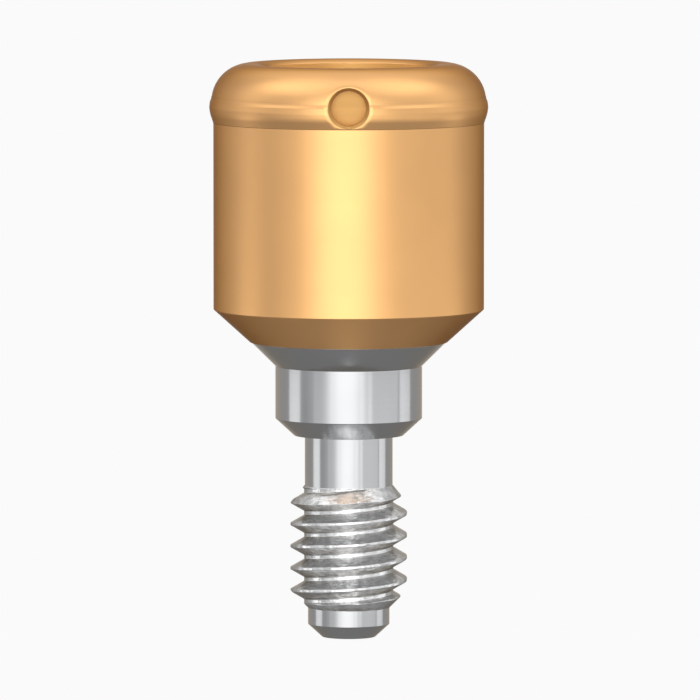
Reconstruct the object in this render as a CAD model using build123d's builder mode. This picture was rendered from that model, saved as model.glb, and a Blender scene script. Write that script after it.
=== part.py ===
"""Dental abutment, turned from one bar of titanium alloy, in millimetres with +Z up.

The origin is on the axis at the platform edge, where the coated cuff ends and the bare
seat begins. The head and its side recess are above it, with the recess facing -Y. The seat,
the collar, the shank and the thread go down into the implant.
"""

import os
from math import ceil, radians, sqrt, tan

from build123d import *

# Retention socket in the head, with the groove that the denture cap's insert snaps into
socket_dia = 2.70
socket_depth = 1.60
lip_height = 0.45
groove_depth = 0.08
groove_height = 0.40

# Hexagon for the driver, in the socket's floor
hex_size = 1.25
hex_depth = 1.15
hex_lead_in = 0.06
drill_point_angle = 118

# Cuff that passes through the gum, and the flare that opens below it
cuff_wall = 0.80
cuff_height = 3.49
flare_height = 0.52

# Head, with a raised, slightly crowned band and a rounded shoulder that rises to the rim
band_lip = 0.065
band_ledge = 0.015
band_bevel_height = 0.155
band_height = 0.175
band_crown = 0.01
shoulder_step = 0.035
rim_width = 0.225
rim_drop = 0.055

# Blind recess in the side of the head, centred on the band's top edge
recess_dia = 0.64
recess_depth = 0.30

# Seat, collar and shank, which the implant takes in
seat_width = 0.405
seat_height = 0.385
collar_step = 0.243
collar_height = 0.835
collar_bevel_height = 0.27
collar_underside = 0.175
shank_length = 0.80
shank_relief = 0.01

# Right-handed thread of 72 turns to the inch, run out at both ends
thread_dia = 1.854
thread_pitch = 25.4 / 72
thread_length = 1.96
thread_flank_angle = 30
first_groove = 0.27
run_in_angle = 39
run_out_angle = 45

# Tip below the thread
tip_relief = 0.06
tip_height = 0.26
tip_bevel_width = 0.225
tip_bevel_height = 0.205

# Cutting tools start this far outside what they cut
tool_overlap = 0.2

# Thread form, from its pitch: the crests are an eighth wide and the groove's floor a sixth
flank_slope = tan(radians(thread_flank_angle))
thread_depth = 17 / 24 * thread_pitch / 2 / flank_slope
thread_radius = thread_dia / 2
root_radius = thread_radius - thread_depth
groove_floor = thread_pitch / 6

# Radii that follow from the sizes above
shank_radius = root_radius - shank_relief
tip_radius = root_radius - tip_relief
collar_radius = thread_radius + collar_step
platform_radius = collar_radius + seat_width
socket_radius = socket_dia / 2
cuff_radius = socket_radius + cuff_wall
band_radius = cuff_radius + band_lip
band_edge_radius = band_radius - band_crown
shoulder_radius = band_radius - shoulder_step
crest_radius = socket_radius + rim_width

# Levels above the platform edge
band_bottom = cuff_height + band_bevel_height
band_top = band_bottom + band_height
rim_top = band_top + shoulder_radius - crest_radius
mouth_top = rim_top - rim_drop
socket_floor = mouth_top - socket_depth

# Levels below it
collar_bottom = -seat_height - collar_height
collar_end = collar_bottom - collar_bevel_height
thread_top = collar_end - shank_length
thread_end = thread_top - thread_length
tip_shoulder = thread_end - tip_height
tip_end = tip_shoulder - tip_bevel_height

os.makedirs("parts", exist_ok=True)

# The lowest turn of the thread's groove, a V with a flat floor that reaches just past the crest
groove_turns = ceil((thread_length + first_groove) / thread_pitch) + 2
groove_start = thread_top - first_groove + (2 - groove_turns) * thread_pitch
groove_reach = thread_depth + thread_pitch / 24
groove_mouth = groove_floor + 2 * groove_reach * flank_slope
with BuildPart() as groove_turn:
    with BuildLine():
        groove_path = Helix(thread_pitch, thread_pitch, root_radius, center=(0, 0, groove_start))
    with BuildSketch(Plane(groove_path @ 0, x_dir=(1, 0, 0), z_dir=groove_path % 0)):
        with BuildLine():
            Polyline(
                (0, -groove_floor / 2),
                (groove_reach, -groove_mouth / 2),
                (groove_reach, groove_mouth / 2),
                (0, groove_floor / 2),
                close=True,
            )
        make_face()
    sweep(path=groove_path, is_frenet=True)

with BuildPart() as abutment:
    # Flare, cuff and head, with the shoulder rounded up to the rim and over into the mouth
    with BuildSketch(Plane.XZ):
        with BuildLine():
            Polyline(
                (0, mouth_top),
                (0, 0),
                (platform_radius, 0),
                (cuff_radius, flare_height),
                (cuff_radius, cuff_height),
                (cuff_radius + band_ledge, cuff_height),
                (band_edge_radius, band_bottom),
            )
            ThreePointArc(
                (band_edge_radius, band_bottom),
                (band_radius, band_bottom + band_height / 2),
                (band_edge_radius, band_top),
            )
            Line((band_edge_radius, band_top), (shoulder_radius, band_top))
            JernArc((shoulder_radius, band_top), (0, 1), shoulder_radius - crest_radius, 90)
            TangentArc((crest_radius, rim_top), (socket_radius, mouth_top), tangent=(-1, 0))
            Line((socket_radius, mouth_top), (0, mouth_top))
        make_face()
    revolve(axis=Axis.Z)

    # Seat, collar, shank, thread blank and tip
    run_in = (thread_radius - shank_radius) / tan(radians(run_in_angle))
    run_out = (thread_radius - tip_radius) / tan(radians(run_out_angle))
    with BuildSketch(Plane.XZ):
        with BuildLine():
            Polyline(
                (0, 0),
                (platform_radius, 0),
                (collar_radius, -seat_height),
                (collar_radius, collar_bottom),
                (shank_radius + collar_underside, collar_end),
                (shank_radius, collar_end),
                (shank_radius, thread_top),
                (thread_radius, thread_top - run_in),
                (thread_radius, thread_end + run_out),
                (tip_radius, thread_end),
                (tip_radius, tip_shoulder),
                (tip_radius - tip_bevel_width, tip_end),
                (0, tip_end),
                close=True,
            )
        make_face()
    revolve(axis=Axis.Z)

    # Retention socket with its groove
    groove_radius = socket_radius + groove_depth
    groove_top = mouth_top - lip_height
    groove_bottom = groove_top - groove_height
    with BuildSketch(Plane.XZ):
        with BuildLine():
            Polyline(
                (0, mouth_top + tool_overlap),
                (socket_radius, mouth_top + tool_overlap),
                (socket_radius, groove_top),
                (groove_radius, groove_top - groove_depth),
                (groove_radius, groove_bottom + groove_depth),
                (socket_radius, groove_bottom),
                (socket_radius, socket_floor),
                (0, socket_floor),
                close=True,
            )
        make_face()
    revolve(axis=Axis.Z, mode=Mode.SUBTRACT)

    # Driver hexagon, with a drilled point below it and a turned lead-in at its mouth
    with BuildSketch(Plane.XY.offset(socket_floor)):
        RegularPolygon(hex_size / 2, 6, major_radius=False)
    extrude(amount=-hex_depth, mode=Mode.SUBTRACT)
    drill_point = hex_size / 2 / tan(radians(drill_point_angle / 2))
    lead_in_radius = hex_size / sqrt(3) + hex_lead_in
    point_of_tool = (Align.CENTER, Align.CENTER, Align.MAX)
    with Locations((0, 0, socket_floor - hex_depth)):
        Cone(0, hex_size / 2, drill_point, align=point_of_tool, mode=Mode.SUBTRACT)
    with Locations((0, 0, socket_floor)):
        Cone(0, lead_in_radius, lead_in_radius, align=point_of_tool, mode=Mode.SUBTRACT)

    # Blind recess, bored square to the axis
    with BuildSketch(Plane.XZ.offset(band_radius - recess_depth)):
        with Locations((0, band_top)):
            Circle(recess_dia / 2)
    extrude(amount=recess_depth + tool_overlap, mode=Mode.SUBTRACT)

    # Thread, cut turn after turn until the groove has left both ends of the blank
    for turn in range(groove_turns):
        with Locations((0, 0, turn * thread_pitch)):
            add(groove_turn.part, mode=Mode.SUBTRACT)

abutment.part.label = "abutment"
export_step(abutment.part, "parts/abutment.step")
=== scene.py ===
from bisect import bisect_left
from math import atan2, ceil, cos, hypot, pi, radians, sin, sqrt, tan, tau

import bmesh
import bpy
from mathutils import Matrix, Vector, noise


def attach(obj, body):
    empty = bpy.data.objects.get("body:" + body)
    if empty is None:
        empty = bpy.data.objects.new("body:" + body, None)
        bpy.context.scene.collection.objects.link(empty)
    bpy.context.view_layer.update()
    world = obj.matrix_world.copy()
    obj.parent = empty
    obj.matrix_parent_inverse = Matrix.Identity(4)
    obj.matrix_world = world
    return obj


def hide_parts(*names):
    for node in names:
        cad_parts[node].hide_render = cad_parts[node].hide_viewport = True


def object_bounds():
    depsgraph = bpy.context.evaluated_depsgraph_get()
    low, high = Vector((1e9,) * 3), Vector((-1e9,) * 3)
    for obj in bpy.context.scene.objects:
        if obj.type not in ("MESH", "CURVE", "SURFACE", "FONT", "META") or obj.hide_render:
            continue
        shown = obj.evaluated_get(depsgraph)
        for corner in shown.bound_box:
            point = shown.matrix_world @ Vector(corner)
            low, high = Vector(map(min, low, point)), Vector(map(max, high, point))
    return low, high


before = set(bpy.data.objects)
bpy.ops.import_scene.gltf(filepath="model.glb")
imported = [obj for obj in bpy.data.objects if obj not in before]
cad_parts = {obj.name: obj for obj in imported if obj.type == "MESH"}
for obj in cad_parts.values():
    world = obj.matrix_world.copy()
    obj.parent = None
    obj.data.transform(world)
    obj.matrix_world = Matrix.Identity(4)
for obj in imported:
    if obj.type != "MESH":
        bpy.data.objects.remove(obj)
cad_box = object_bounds()


# Coated head: the cuff that passes through the gum and the head that the denture cap snaps
# over. It is turned from titanium alloy and then given a hard gold nitride coating, which
# ends at the platform edge, so this mesh ends there too and stands on the bare stem.

mm = 0.001
facets_around = 192
spoke_angles = [tau * j / facets_around for j in range(facets_around)]

socket_radius = 1.35 * mm
socket_depth = 1.60 * mm
snap_groove_depth = 0.08 * mm
snap_groove_top = 0.45 * mm
snap_groove_height = 0.40 * mm
hexagon_size = 1.25 * mm
hexagon_depth = 1.15 * mm
hexagon_lead_in = 0.06 * mm
drill_clearance = 0.0125 * mm
drill_point_angle = radians(118)

platform_radius = 1.575 * mm
flare_height = 0.52 * mm
cuff_radius = 2.15 * mm
cuff_height = 3.49 * mm
band_ledge = 0.004 * mm
band_radius = 2.215 * mm
band_crown = 0.01 * mm
band_bottom = 3.645 * mm
band_top = 3.82 * mm
band_foot_round = 0.5 * mm
band_crown_round = 0.15 * mm
shoulder_radius = 2.18 * mm
crest_radius = 1.575 * mm
mouth_drop = 0.055 * mm
mouth_fullness = 0.85
fine_edge = 0.01 * mm
ledge_rise = 0.06 * mm
soft_edge = 0.02 * mm


def rounded(corners):
    """The turned outline through these corners, each (radius, height, edge radius), as
    points with their outward normals. It runs so that the metal lies on its left."""
    outline = []
    for i, (r, z, edge) in enumerate(corners):
        here = Vector((r, z))
        into = here - Vector(corners[i - 1][:2]) if i else None
        out = Vector(corners[i + 1][:2]) - here if i + 1 < len(corners) else None
        first, last = (into or out).normalized(), (out or into).normalized()
        turn = atan2(first.x * last.y - first.y * last.x, first.dot(last))
        side = 1 if turn > 0 else -1
        trim = edge * tan(abs(turn) / 2)
        centre = here - first * trim - side * edge * Vector((first.y, -first.x))
        steps = ceil(abs(turn) / radians(8)) + 1 if edge else 0
        for k in range(steps + 1):
            angle = atan2(-first.x, first.y) + (turn * k / steps if steps else 0)
            normal = Vector((cos(angle), sin(angle)))
            point = centre + side * edge * normal
            outline.append((max(point.x, 0), point.y, normal.x, normal.y))
    return outline


def ring(r, z, normal_r, normal_z):
    """One round row of vertices, each (point, normal), or the single one on the axis."""
    if r < 1e-9:
        return [(Vector((0, 0, z)), Vector((0, 0, normal_z)))]
    row = []
    for a in spoke_angles:
        normal = Vector((normal_r * cos(a), normal_r * sin(a), normal_z))
        row.append((Vector((r * cos(a), r * sin(a), z)), normal))
    return row


def band_of_faces(lower, upper):
    """The faces between two rows that run round the axis."""
    if len(lower) == 1:
        lower = lower * len(upper)
    if len(upper) == 1:
        upper = upper * len(lower)
    n = len(lower)
    return [(lower[j], lower[(j + 1) % n], upper[(j + 1) % n], upper[j]) for j in range(n)]


def skin(name, faces):
    """A mesh object from faces of (point, normal) corners, with corners that meet welded.
    Returns it with the normal at each of its points."""
    places, points, normals, polygons = {}, [], [], []
    for face in faces:
        polygon = []
        for point, normal in face:
            key = tuple(round(c / mm, 6) for c in point)
            if key not in places:
                places[key] = len(points)
                points.append(point)
                normals.append(normal.normalized())
            if places[key] not in polygon:
                polygon.append(places[key])
        if len(polygon) > 2:
            polygons.append(polygon)
    mesh = bpy.data.meshes.new(name)
    mesh.from_pydata(points, [], polygons)
    mesh.shade_smooth()
    piece = bpy.data.objects.new(name, mesh)
    bpy.context.scene.collection.objects.link(piece)
    normal_at = {tuple(v.co): n for v, n in zip(mesh.vertices, normals)}
    return piece, normal_at


mouth_height = cad_box[1].z - mouth_drop
socket_floor = mouth_height - socket_depth
mouth_width = crest_radius - socket_radius
mouth_round = (mouth_width**2 + mouth_drop**2) / (2 * mouth_drop)
mouth_corner = crest_radius - mouth_round * tan(atan2(mouth_drop, mouth_width))
snap_top = mouth_height - snap_groove_top
snap_bottom = snap_top - snap_groove_height
lead_in_radius = hexagon_size / sqrt(3) + hexagon_lead_in
band_edge = band_radius - band_crown
head_outline = rounded([
    (0, 0, 0),
    (platform_radius, 0, fine_edge),
    (cuff_radius, flare_height, soft_edge),
    (cuff_radius, cuff_height, fine_edge / 2),
    (cuff_radius + band_ledge, cuff_height, fine_edge / 2),
    (band_edge - fine_edge / 5, band_bottom - fine_edge, band_foot_round),
    (band_radius, (band_bottom + band_top) / 2, band_crown_round),
    (band_edge, band_top, ledge_rise / 2),
    (shoulder_radius, band_top + ledge_rise, 2 * ledge_rise),
    (shoulder_radius, cad_box[1].z, shoulder_radius - crest_radius - fine_edge),
    (mouth_corner, cad_box[1].z, mouth_fullness * mouth_round),
    (socket_radius, mouth_height, soft_edge),
    (socket_radius, snap_top, fine_edge),
    (socket_radius + snap_groove_depth, snap_top - snap_groove_depth, soft_edge),
    (socket_radius + snap_groove_depth, snap_bottom + snap_groove_depth, soft_edge),
    (socket_radius, snap_bottom, fine_edge),
    (socket_radius, socket_floor, soft_edge),
    (lead_in_radius, socket_floor, fine_edge),
    (hexagon_size / sqrt(3), socket_floor - hexagon_lead_in, 0),
])
head_rows = [ring(*point) for point in head_outline]

# The driver's hexagon is broached into the socket's floor and ends in a drilled point


def hexagon_row(z_at, normal_z):
    """One row of vertices round the hexagon, at the height that z_at gives for a radius."""
    row = []
    for j, angle in enumerate(spoke_angles):
        flat = (angle // (pi / 3)) * pi / 3 + pi / 6
        corner = j % (facets_around // 6) == 0
        facing = angle if corner else flat
        r = hexagon_size / 2 / cos(angle - flat)
        inward = sqrt(1 - normal_z**2)
        normal = Vector((-cos(facing) * inward, -sin(facing) * inward, normal_z))
        row.append((Vector((r * cos(angle), r * sin(angle), z_at(r))), normal))
    return row


hexagon_floor = socket_floor - hexagon_depth
drill_radius = hexagon_size / 2 - drill_clearance
drill_point = drill_radius / tan(drill_point_angle / 2)
head_rows += [
    hexagon_row(lambda r: socket_floor - lead_in_radius + r, sqrt(0.5)),
    hexagon_row(lambda r: socket_floor - lead_in_radius + r - fine_edge, 0),
    hexagon_row(lambda r: hexagon_floor + fine_edge, 0),
    hexagon_row(lambda r: hexagon_floor, 1),
    ring(drill_radius, hexagon_floor, 0, 1),
    ring(drill_radius - fine_edge, hexagon_floor - fine_edge / 2, -0.5, 0.86),
    ring(0, hexagon_floor - drill_point, 0, 1),
]
head_faces = [f for low, high in zip(head_rows, head_rows[1:]) for f in band_of_faces(low, high)]
head, head_normals = skin("coated_head", head_faces)

# The blind recess in the side of the head. Its floor is square to its axis, and its bore opens
# out through a cone into a shallow dished mouth, which the band's lower edge cuts off straight.

recess_radius = 0.32 * mm
recess_depth = 0.30 * mm
recess_mouth = 0.08 * mm
mouth_flatness = 0.25
mouth_steps = 8
recess_cone = 0.045 * mm
recess_edge = 0.004 * mm
recess_facets = 96

crest_point = head_outline.index(max(head_outline, key=lambda p: p[1]))
side_points = [p for p in head_outline[: crest_point + 1] if p[1] > flare_height]
side_points = sorted(side_points, key=lambda p: p[1])
side_heights = [p[1] for p in side_points]


def side_at(z):
    """The radius and the outward normal of the head's side at a height."""
    i = min(max(bisect_left(side_heights, z), 1), len(side_points) - 1)
    low, high = side_points[i - 1], side_points[i]
    share = (z - low[1]) / max(high[1] - low[1], 1e-9)
    share = min(max(share, 0), 1)
    return [a + (b - a) * share for a, b in zip(low, high)]


def recess_row(turn):
    """A row of the recess's cutter in its dished mouth, from the wall, where turn is 0, to the
    side of the head, where it is a right angle."""
    row = []
    for j in range(recess_facets):
        a = tau * (j + 0.5) / recess_facets
        room = (band_top - cuff_height - fine_edge) / max(-sin(a), 0.01) - recess_radius
        mouth = min(recess_mouth, room)
        r = recess_radius + mouth * (1 - cos(turn))
        x, z = r * cos(a), band_top + r * sin(a)
        side_r, _, normal_r, normal_z = side_at(z)
        y = -sqrt(side_r**2 - x**2) + mouth * mouth_flatness * (1 - sin(turn))
        across = x / side_r
        outward = Vector((across * normal_r, -sqrt(1 - across**2) * normal_r, normal_z))
        wall = Vector((-cos(a), 0, -sin(a)))
        row.append((Vector((x, y, z)), wall * mouth_flatness * cos(turn) + outward * sin(turn)))
    return row


def bore_row(depth_at, front_share):
    """A row of the cutter round its bore, at the depth that depth_at gives from the mouth's.
    Its normal faces the bore's axis and, by this share, the front."""
    row = []
    for edge, _ in recess_row(cone_turn):
        inward = Vector((-edge.x, 0, band_top - edge.z)).normalized()
        point = Vector((0, depth_at(edge.y), band_top)) - inward * (recess_radius - recess_cone)
        row.append((point, inward * (1 - front_share) + Vector((0, -front_share, 0))))
    return row


recess_floor = -(band_radius - recess_depth)
cone_turn = atan2(mouth_flatness, 1)
mouth_turns = [cone_turn + (pi / 2 - cone_turn) * k / mouth_steps for k in range(mouth_steps + 1)]
cutter_rows = [
    [(Vector((0, recess_floor, band_top)), Vector((0, -1, 0)))],
    bore_row(lambda y: recess_floor, 1),
    bore_row(lambda y: recess_floor - recess_edge, 0),
    bore_row(lambda y: y + recess_cone, 0),
    bore_row(lambda y: y + recess_cone - recess_edge, 0.5),
]
cutter_rows += [recess_row(turn) for turn in mouth_turns]
cutter_rows += [
    [(Vector((p.x, -band_radius - recess_depth, p.z)), n) for p, n in cutter_rows[-1]],
    [(Vector((0, -band_radius - recess_depth, band_top)), Vector((0, -1, 0)))],
]
cutter_faces = [f for a, b in zip(cutter_rows, cutter_rows[1:]) for f in band_of_faces(a, b)]
cutter, cutter_normals = skin("recess_cutter", cutter_faces)
for piece in (head, cutter):
    shape = bmesh.new()
    shape.from_mesh(piece.data)
    bmesh.ops.recalc_face_normals(shape, faces=shape.faces)
    shape.to_mesh(piece.data)
    shape.free()
cut = head.modifiers.new("recess", "BOOLEAN")
cut.operation = "DIFFERENCE"
cut.solver = "EXACT"
cut.object = cutter
bpy.context.view_layer.update()
bored_head = head.evaluated_get(bpy.context.evaluated_depsgraph_get())
head.data = bpy.data.meshes.new_from_object(bored_head)
head.modifiers.clear()
bpy.data.objects.remove(cutter)


def bored_normal(point):
    """The normal at a point of the bored head: a stored one, or the side's on a cut edge."""
    key = tuple(point)
    if key in head_normals or key in cutter_normals:
        return head_normals.get(key) or cutter_normals[key]
    side_r, _, normal_r, normal_z = side_at(point.z)
    r = hypot(point.x, point.y)
    return Vector((point.x / r * normal_r, point.y / r * normal_r, normal_z))


head.data.normals_split_custom_set_from_vertices([bored_normal(v.co) for v in head.data.vertices])


# The finish of a turned surface: fine rings round the axis that the tool left, a little
# uneven along their length, and soft cloudy patches. Both metals use it.


def link(tree, source, target):
    """Joins two sockets of a node tree."""
    tree.links.new(source, target)


def math_node(tree, operation, first, second=0.0):
    """A maths node's output. Each value is a socket or a number."""
    node = tree.nodes.new("ShaderNodeMath")
    node.operation = operation
    for socket, value in zip(node.inputs, (first, second)):
        if isinstance(value, (int, float)):
            socket.default_value = value
        else:
            link(tree, value, socket)
    return node.outputs[0]


turned_finish = bpy.data.node_groups.new("turned finish", "ShaderNodeTree")
for name, per_mm in (("Rings per mm", 30), ("Clouds per mm", 1)):
    inlet = turned_finish.interface.new_socket(name, in_out="INPUT", socket_type="NodeSocketFloat")
    inlet.default_value = per_mm
for name in ("Rings", "Clouds"):
    turned_finish.interface.new_socket(name, in_out="OUTPUT", socket_type="NodeSocketFloat")
inside = turned_finish.nodes.new("NodeGroupInput")
outside = turned_finish.nodes.new("NodeGroupOutput")
place = turned_finish.nodes.new("ShaderNodeTexCoord").outputs["Object"]
apart = turned_finish.nodes.new("ShaderNodeSeparateXYZ")
link(turned_finish, place, apart.inputs[0])
x_squared = math_node(turned_finish, "MULTIPLY", apart.outputs["X"], apart.outputs["X"])
y_squared = math_node(turned_finish, "MULTIPLY", apart.outputs["Y"], apart.outputs["Y"])
squared = math_node(turned_finish, "ADD", x_squared, y_squared)
from_axis = math_node(turned_finish, "SQRT", squared)
across_rings = turned_finish.nodes.new("ShaderNodeCombineXYZ")
link(turned_finish, from_axis, across_rings.inputs["X"])
link(turned_finish, apart.outputs["Z"], across_rings.inputs["Y"])
for where, density, detail, output in (
    (across_rings.outputs[0], "Rings per mm", 3, "Rings"),
    (place, "Clouds per mm", 2, "Clouds"),
):
    texture = turned_finish.nodes.new("ShaderNodeTexNoise")
    texture.inputs["Detail"].default_value = detail
    link(turned_finish, where, texture.inputs["Vector"])
    per_metre = math_node(turned_finish, "MULTIPLY", inside.outputs[density], 1 / mm)
    link(turned_finish, per_metre, texture.inputs["Scale"])
    link(turned_finish, texture.outputs["Fac"], outside.inputs[output])


def turned_metal(name, colours, roughness, roughness_swing, rings_per_mm, ring_height):
    """A turned metal's material. Its colour drifts between two tones with the clouds, and
    its roughness swings with the rings."""
    material = bpy.data.materials.new(name)
    material.use_nodes = True
    tree = material.node_tree
    metal = tree.nodes["Principled BSDF"]
    metal.inputs["Metallic"].default_value = 1
    finish = tree.nodes.new("ShaderNodeGroup")
    finish.node_tree = turned_finish
    finish.inputs["Rings per mm"].default_value = rings_per_mm
    tones = tree.nodes.new("ShaderNodeValToRGB")
    for stop, position, colour in zip(tones.color_ramp.elements, (0.35, 0.65), colours):
        stop.position = position
        stop.color = (*colour, 1)
    link(tree, finish.outputs["Clouds"], tones.inputs["Fac"])
    link(tree, tones.outputs["Color"], metal.inputs["Base Color"])
    swing = tree.nodes.new("ShaderNodeMapRange")
    swing.inputs["To Min"].default_value = roughness - roughness_swing
    swing.inputs["To Max"].default_value = roughness + roughness_swing
    link(tree, finish.outputs["Rings"], swing.inputs["Value"])
    link(tree, swing.outputs["Result"], metal.inputs["Roughness"])
    bump = tree.nodes.new("ShaderNodeBump")
    bump.inputs["Distance"].default_value = ring_height
    link(tree, finish.outputs["Rings"], bump.inputs["Height"])
    link(tree, bump.outputs["Normal"], metal.inputs["Normal"])
    return material


gold = turned_metal(
    "gold_nitride", ((1.0, 0.56, 0.215), (0.97, 0.54, 0.21)), 0.34, 0.03, 30, 0.0001 * mm
)
gold_metal = gold.node_tree.nodes["Principled BSDF"]
gold_metal.inputs["Specular Tint"].default_value = (0.25, 0.2, 0.14, 1)
gold_metal.inputs["Sheen Weight"].default_value = 0.04
gold_metal.inputs["Sheen Roughness"].default_value = 1
gold_metal.inputs["Sheen Tint"].default_value = (0.7, 0.4, 1, 1)
# The socket's gold is rougher, as a bored wall is, and its lighter, yellower tone is painted light
# inside the socket.
socket_gold_painted_light = turned_metal(
    "gold_nitride_socket_painted_light", ((1.0, 0.66, 0.25), (0.95, 0.62, 0.23)), 0.5, 0.05, 12, 0.0001 * mm
)
# The recess's gold is rougher, as a milled floor is, and its darker tone is painted shade inside
# the recess.
recess_gold_painted_shade = turned_metal(
    "gold_nitride_recess_painted_shade", ((0.68, 0.39, 0.14), (0.65, 0.37, 0.13)), 0.5, 0.05, 12, 0.0001 * mm
)
for metal in (gold, socket_gold_painted_light, recess_gold_painted_shade):
    head.data.materials.append(metal)
# Faces in the socket get the gold with painted light, and faces in the side recess the gold with
# painted shade.
for face in head.data.polygons:
    x, y, z = face.center
    under_mouth = 0 < z < mouth_height - soft_edge
    in_socket_painted_light = under_mouth and hypot(x, y) < socket_radius + snap_groove_depth
    in_recess_painted_shade = hypot(x, z - band_top) < recess_radius and y < -socket_radius
    face.material_index = 1 if in_socket_painted_light else 2 if in_recess_painted_shade else 0
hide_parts("abutment")
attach(head, "root")


# Bare stem: the part that the implant takes in. Below the platform edge come the conical
# seat, the collar that centres the abutment, the shank, the screw thread and the tip, all
# turned from the head's own bar and left as bare titanium alloy.

coating_step = 0.014 * mm
seat_height = 0.385 * mm
collar_radius = 1.17 * mm
collar_bottom = -1.22 * mm
collar_end = -1.49 * mm
collar_end_radius = 0.8756 * mm
shank_radius = 0.7006 * mm
thread_top = -2.29 * mm
thread_end = -4.25 * mm
thread_radius = 0.927 * mm
thread_pitch = 25.4 / 72 * mm
thread_flank_angle = radians(30)
run_in_angle = radians(39)
groove_height = -2.56 * mm
tip_radius = 0.6506 * mm
tip_shoulder = -4.51 * mm
tip_end = cad_box[0].z
tip_end_radius = 0.4256 * mm
thread_edge = 0.012 * mm
burr_height = 0.006 * mm
burrs_per_mm = 9

# Thread form, from its pitch: the crests are an eighth wide and the groove's floor a sixth
flank_slope = tan(thread_flank_angle)
thread_depth = 17 / 24 * thread_pitch / 2 / flank_slope
root_radius = thread_radius - thread_depth

lower_outline = rounded([
    (0, tip_end, 0),
    (tip_end_radius, tip_end, soft_edge),
    (tip_radius, tip_shoulder, soft_edge),
    (tip_radius, thread_end, 0),
])
upper_outline = rounded([
    (shank_radius, thread_top, 0),
    (shank_radius, collar_end, soft_edge),
    (collar_end_radius, collar_end, fine_edge),
    (collar_radius, collar_bottom, soft_edge),
    (collar_radius, -seat_height, fine_edge),
    (platform_radius - coating_step, 0, fine_edge / 2),
    (0, 0, 0),
])


def softer(a, b):
    """The smaller of two radii, rounded off where they are nearly the same."""
    near = max(thread_edge - abs(a - b), 0) / thread_edge
    return min(a, b) - near**2 * thread_edge / 4


def thread_radius_at(angle, z):
    """The radius of the threaded stretch, a groove wound into a blank with coned ends, with
    slight burrs that grow towards its crest."""
    run_in = shank_radius + (thread_top - z) * tan(run_in_angle)
    run_out = tip_radius + (z - thread_end)
    blank = softer(softer(run_in, run_out), thread_radius)
    groove_here = groove_height + thread_pitch * angle / tau
    off_centre = abs((z - groove_here + thread_pitch / 2) % thread_pitch - thread_pitch / 2)
    flank = root_radius + (off_centre - thread_pitch / 12) / flank_slope
    groove = -softer(-root_radius, -flank)
    r = softer(blank, groove)
    spot = Vector((r * cos(angle), r * sin(angle), z)) / mm * burrs_per_mm
    return r + burr_height * noise.noise(spot) * (r - root_radius) / thread_depth


def thread_vertex(angle, z):
    """A (point, normal) vertex of the threaded stretch, kept between its two ends."""
    z = min(max(z, thread_end), thread_top)
    r = thread_radius_at(angle, z)
    if z == thread_end:
        r = tip_radius
    if z == thread_top:
        r = shank_radius
    tiny = 1e-4
    rise = thread_radius_at(angle, z + tiny * mm) - thread_radius_at(angle, z - tiny * mm)
    lean = rise / (2 * tiny * mm)
    swell = thread_radius_at(angle + tiny, z) - thread_radius_at(angle - tiny, z)
    twist = swell / (2 * tiny * r)
    if z in (thread_end, thread_top):
        lean = twist = 0
    outward = Vector((cos(angle), sin(angle), 0))
    around = Vector((-sin(angle), cos(angle), 0))
    return outward * r + Vector((0, 0, z)), outward - around * twist - Vector((0, 0, lean))


# Rows from the middle of the groove's floor up one flank to the crest, as shares of the pitch
half_groove = [0, 1 / 24, 1 / 15, 1 / 12, 1 / 10, 3 / 20, 1 / 5, 1 / 4, 3 / 10, 7 / 20]
half_groove += [2 / 5, 5 / 12, 3 / 7, 7 / 16, 9 / 20, 7 / 15]
steps_of_turn = sorted([-s for s in half_groove[1:]] + half_groove + [1 / 2])
rows_a_turn = len(steps_of_turn)
first_turn = int((thread_end - thread_pitch - groove_height) / thread_pitch) - 1
last_turn = int((thread_top - groove_height) / thread_pitch) + 2
row_heights = [
    groove_height + (turn + step) * thread_pitch
    for turn in range(first_turn, last_turn)
    for step in steps_of_turn
]
thread_rows = [
    [thread_vertex(a, height + thread_pitch * a / tau) for a in spoke_angles]
    for height in row_heights
]
thread_faces = []
for k in range(len(thread_rows) - 1):
    low, high = thread_rows[k], thread_rows[k + 1]
    seam_low = thread_rows[min(k + rows_a_turn, len(thread_rows) - 1)][0]
    seam_high = thread_rows[min(k + 1 + rows_a_turn, len(thread_rows) - 1)][0]
    thread_faces += zip(low, low[1:] + [seam_low], high[1:] + [seam_high], high)
stem_faces = []
for outline in (lower_outline, upper_outline):
    rows = [ring(*point) for point in outline]
    stem_faces += [f for low, high in zip(rows, rows[1:]) for f in band_of_faces(low, high)]
stem, stem_normals = skin("bare_stem", stem_faces + thread_faces)
corner_normals = [stem_normals[tuple(v.co)] for v in stem.data.vertices]
stem.data.normals_split_custom_set_from_vertices(corner_normals)

titanium = turned_metal(
    "bare_titanium", ((0.50, 0.508, 0.517), (0.48, 0.488, 0.497)), 0.14, 0.03, 22, 0.0001 * mm
)
titanium_metal = titanium.node_tree.nodes["Principled BSDF"]
titanium_metal.inputs["Specular Tint"].default_value = (1, 0.89, 0.75, 1)
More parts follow.
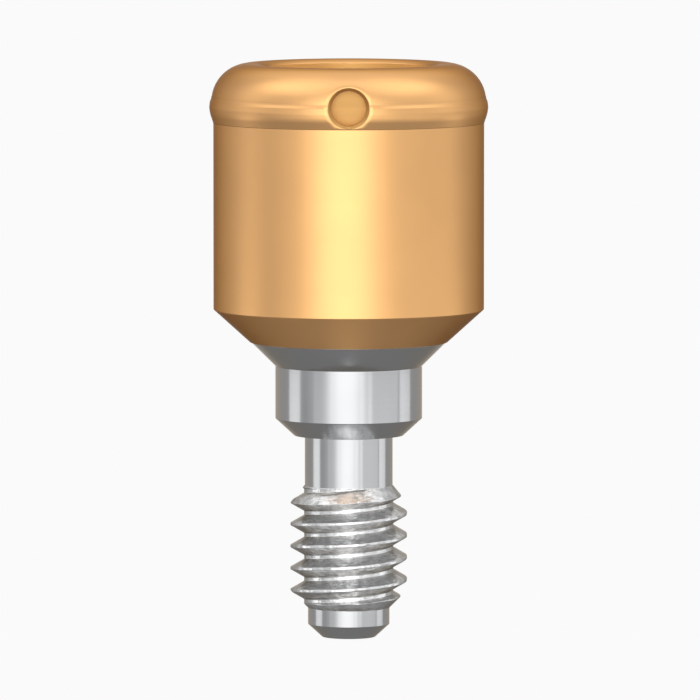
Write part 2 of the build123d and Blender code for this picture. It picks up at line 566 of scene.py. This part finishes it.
# The threaded stretch is rougher and chattered, as cut metal is, and its tones, far lighter than
# the stem's titanium, are painted light on its flanks.
cut_titanium_painted_light = turned_metal(
    "bare_titanium_thread_painted_light", ((0.9, 0.907, 0.915), (0.7, 0.706, 0.713)), 0.24, 0.14, 12, 0.004 * mm
)
cut_tree = cut_titanium_painted_light.node_tree
cut_metal = cut_tree.nodes["Principled BSDF"]
cut_metal.inputs["Specular Tint"].default_value = (0.48, 0.43, 0.36, 1)
cut_finish = cut_tree.nodes["Group"]
cut_finish.inputs["Clouds per mm"].default_value = 9
chatter = cut_tree.nodes.new("ShaderNodeBump")
chatter.inputs["Distance"].default_value = 0.012 * mm
link(cut_tree, cut_finish.outputs["Clouds"], chatter.inputs["Height"])
link(cut_tree, cut_tree.nodes["Bump"].outputs["Normal"], chatter.inputs["Normal"])
link(cut_tree, chatter.outputs["Normal"], cut_metal.inputs["Normal"])
for metal in (titanium, cut_titanium_painted_light):
    stem.data.materials.append(metal)
# The threaded stretch takes the titanium with painted light.
for face in stem.data.polygons:
    face.material_index = 1 if thread_end < face.center.z < thread_top else 0
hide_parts("abutment")
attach(stem, "root")


# Floor and backdrop: a pale table well below the tip, and a white card behind it that the
# camera and the metal both see.

floor_drop = 45 * mm
floor_half = 84 * mm
card_distance = 200 * mm
card_width = 90 * mm
card_height = 75 * mm


def flat_sheet(name, corners):
    """A four-cornered sheet of the set."""
    mesh = bpy.data.meshes.new(name)
    mesh.from_pydata(corners, [], [(0, 1, 2, 3)])
    sheet = bpy.data.objects.new(name, mesh)
    bpy.context.scene.collection.objects.link(sheet)
    return sheet


floor = flat_sheet("floor", [
    (-floor_half, -floor_half, -floor_drop),
    (floor_half, -floor_half, -floor_drop),
    (floor_half, floor_half, -floor_drop),
    (-floor_half, floor_half, -floor_drop),
])
card = flat_sheet("backdrop", [
    (-card_width / 2, card_distance, -floor_drop),
    (card_width / 2, card_distance, -floor_drop),
    (card_width / 2, card_distance, card_height - floor_drop),
    (-card_width / 2, card_distance, card_height - floor_drop),
])

paper = bpy.data.materials.new("pale_table")
paper.use_nodes = True
paper_surface = paper.node_tree.nodes["Principled BSDF"]
paper_surface.inputs["Base Color"].default_value = (0.37, 0.37, 0.37, 1)
paper_surface.inputs["Roughness"].default_value = 0.9
floor.data.materials.append(paper)

white = bpy.data.materials.new("white_card")
white.use_nodes = True
card_tree = white.node_tree
card_surface = card_tree.nodes["Principled BSDF"]
card_surface.inputs["Base Color"].default_value = (0.8, 0.8, 0.8, 1)
glow = card_tree.nodes.new("ShaderNodeEmission")
glow.inputs["Color"].default_value = (0.956, 0.956, 0.956, 1)
ray = card_tree.nodes.new("ShaderNodeLightPath")
seen = math_node(card_tree, "MAXIMUM", ray.outputs["Is Camera Ray"], ray.outputs["Is Glossy Ray"])
seen = math_node(card_tree, "MAXIMUM", seen, ray.outputs["Is Transmission Ray"])
either = card_tree.nodes.new("ShaderNodeMixShader")
link(card_tree, seen, either.inputs[0])
link(card_tree, card_surface.outputs[0], either.inputs[1])
link(card_tree, glow.outputs[0], either.inputs[2])
link(card_tree, either.outputs[0], card_tree.nodes["Material Output"].inputs["Surface"])
card.data.materials.append(white)


# Light: a plain grey tent round the set, with soft neutral panels. Azimuth 0 is the
# camera's side and grows to its right.

tent = bpy.data.worlds.new("light_tent")
bpy.context.scene.world = tent
tent.use_nodes = True
tent_tree = tent.node_tree
toward = tent_tree.nodes.new("ShaderNodeTexCoord").outputs["Generated"]


def vector_node(operation, first, second=None):
    """A vector maths node of the tent. Each input is a socket or three numbers."""
    node = tent_tree.nodes.new("ShaderNodeVectorMath")
    node.operation = operation
    for socket, value in zip(node.inputs, (first, second)):
        if isinstance(value, tuple):
            socket.default_value = value
        elif value is not None:
            link(tent_tree, value, socket)
    return node


def soft_panel(azimuth, elevation, half_width, height_ratio, level):
    """The light of one panel. It is even across most of its face and falls to half at
    half_width, in degrees, to each side, and height_ratio times that far up and down."""
    a, e = radians(azimuth), radians(elevation)
    centre = Vector((sin(a) * cos(e), -cos(a) * cos(e), sin(e) / height_ratio)).normalized()
    squeezed = vector_node("MULTIPLY", toward, (1.0, 1.0, 1 / height_ratio))
    aimed = vector_node("NORMALIZE", squeezed.outputs[0])
    nearness = vector_node("DOT_PRODUCT", aimed.outputs[0], tuple(centre)).outputs["Value"]
    apart = math_node(tent_tree, "SUBTRACT", 1.0, nearness)
    share = math_node(tent_tree, "DIVIDE", apart, 1 - cos(radians(half_width)))
    fall = math_node(tent_tree, "POWER", 0.5, math_node(tent_tree, "MULTIPLY", share, share))
    return math_node(tent_tree, "MULTIPLY", fall, level)


# The tent's level at its top, round its side and at its bottom, which blend with height
tent_top = 0.45
tent_side = 0.52
tent_bottom = 0.05
split = tent_tree.nodes.new("ShaderNodeSeparateXYZ")
link(tent_tree, toward, split.inputs[0])
above = math_node(tent_tree, "MAXIMUM", split.outputs["Z"], 0.0)
below = math_node(tent_tree, "MINIMUM", split.outputs["Z"], 0.0)
upper = math_node(tent_tree, "MULTIPLY", above, tent_top - tent_side)
lower = math_node(tent_tree, "MULTIPLY", below, tent_side - tent_bottom)
light = math_node(tent_tree, "ADD", upper, lower)
light = math_node(tent_tree, "ADD", light, tent_side)

# Each panel's azimuth, elevation, half width, height ratio and level
for panel in (
    (-4, 2, 26, 1.2, 1.45),
    (50, 0, 28, 1.2, 0.22),
    (-47, 0, 20, 1.2, 0.2),
    (-92, 32, 18, 2.2, 0.42),
    (92, 32, 18, 2.2, 0.42),
    (180, 54, 30, 1, 0.45),
):
    light = math_node(tent_tree, "ADD", light, soft_panel(*panel))
link(tent_tree, light, tent_tree.nodes["Background"].inputs["Color"])


# Two soft round lamps close above the head, each of three discs one behind the other so
# that its light fades outwards. The rounded shoulder and the thread's flanks catch them.

top_lamp_offset = 19 * mm
top_lamp_forward = 12 * mm
top_lamp_height = 36 * mm
top_lamp_gap = 1 * mm
top_lamp_level = 0.3

for side in (-1, 1):
    for behind, disc_size in enumerate((24 * mm, 38 * mm, 52 * mm)):
        disc = bpy.data.lights.new("top_lamp", "AREA")
        disc.shape = "DISK"
        disc.size = disc_size
        disc.energy = top_lamp_level * pi * (pi / 4 * disc_size**2)
        lamp = bpy.data.objects.new("top_lamp", disc)
        bpy.context.scene.collection.objects.link(lamp)
        disc_height = top_lamp_height + behind * top_lamp_gap
        lamp.location = (side * top_lamp_offset, -top_lamp_forward, disc_height)
        lamp.rotation_euler = (-lamp.location).to_track_quat("-Z", "Y").to_euler()
        lamp.visible_camera = False


# Slim lamps beside the stem, each with an azimuth, a width and a level. They draw the
# bright stripes along its collar and its shank.

side_lamp_distance = 25 * mm
side_lamp_height = -5 * mm
side_lamp_length = 5.5 * mm

for azimuth, width, level in (
    (-93, 11 * mm, 0.72),
    (-40, 14 * mm, 0.2),
    (27, 8 * mm, 0.42),
    (56, 24 * mm, 0.38),
    (98, 11 * mm, 0.66),
):
    stripe = bpy.data.lights.new("side_lamp", "AREA")
    stripe.shape = "RECTANGLE"
    stripe.size = width
    stripe.size_y = side_lamp_length
    stripe.energy = level * pi * width * side_lamp_length
    lamp = bpy.data.objects.new("side_lamp", stripe)
    bpy.context.scene.collection.objects.link(lamp)
    outward = Vector((sin(radians(azimuth)), -cos(radians(azimuth)), 0))
    lamp.location = outward * side_lamp_distance + Vector((0, 0, side_lamp_height))
    lamp.rotation_euler = (-outward).to_track_quat("-Z", "Y").to_euler()
    lamp.visible_camera = False


# Camera: the photograph's view, a little above the head and square to the recess. It stands
# far off, as the photograph shows hardly any perspective.

camera_distance = 150 * mm
camera_height = 12.1 * mm
aim = Vector((0.02 * mm, 0, -0.137 * mm))
frame_height = 11.133 * mm
sensor_width = 36

view = bpy.data.cameras.new("camera")
camera = bpy.data.objects.new("camera", view)
bpy.context.scene.collection.objects.link(camera)
camera.location = (aim.x, -camera_distance, camera_height)
camera.rotation_euler = (aim - camera.location).to_track_quat("-Z", "Y").to_euler()
view.sensor_width = sensor_width
view.lens = sensor_width * (aim - camera.location).length / frame_height
view.clip_start = 10 * mm
bpy.context.scene.camera = camera
bpy.context.scene.view_settings.view_transform = "Standard"
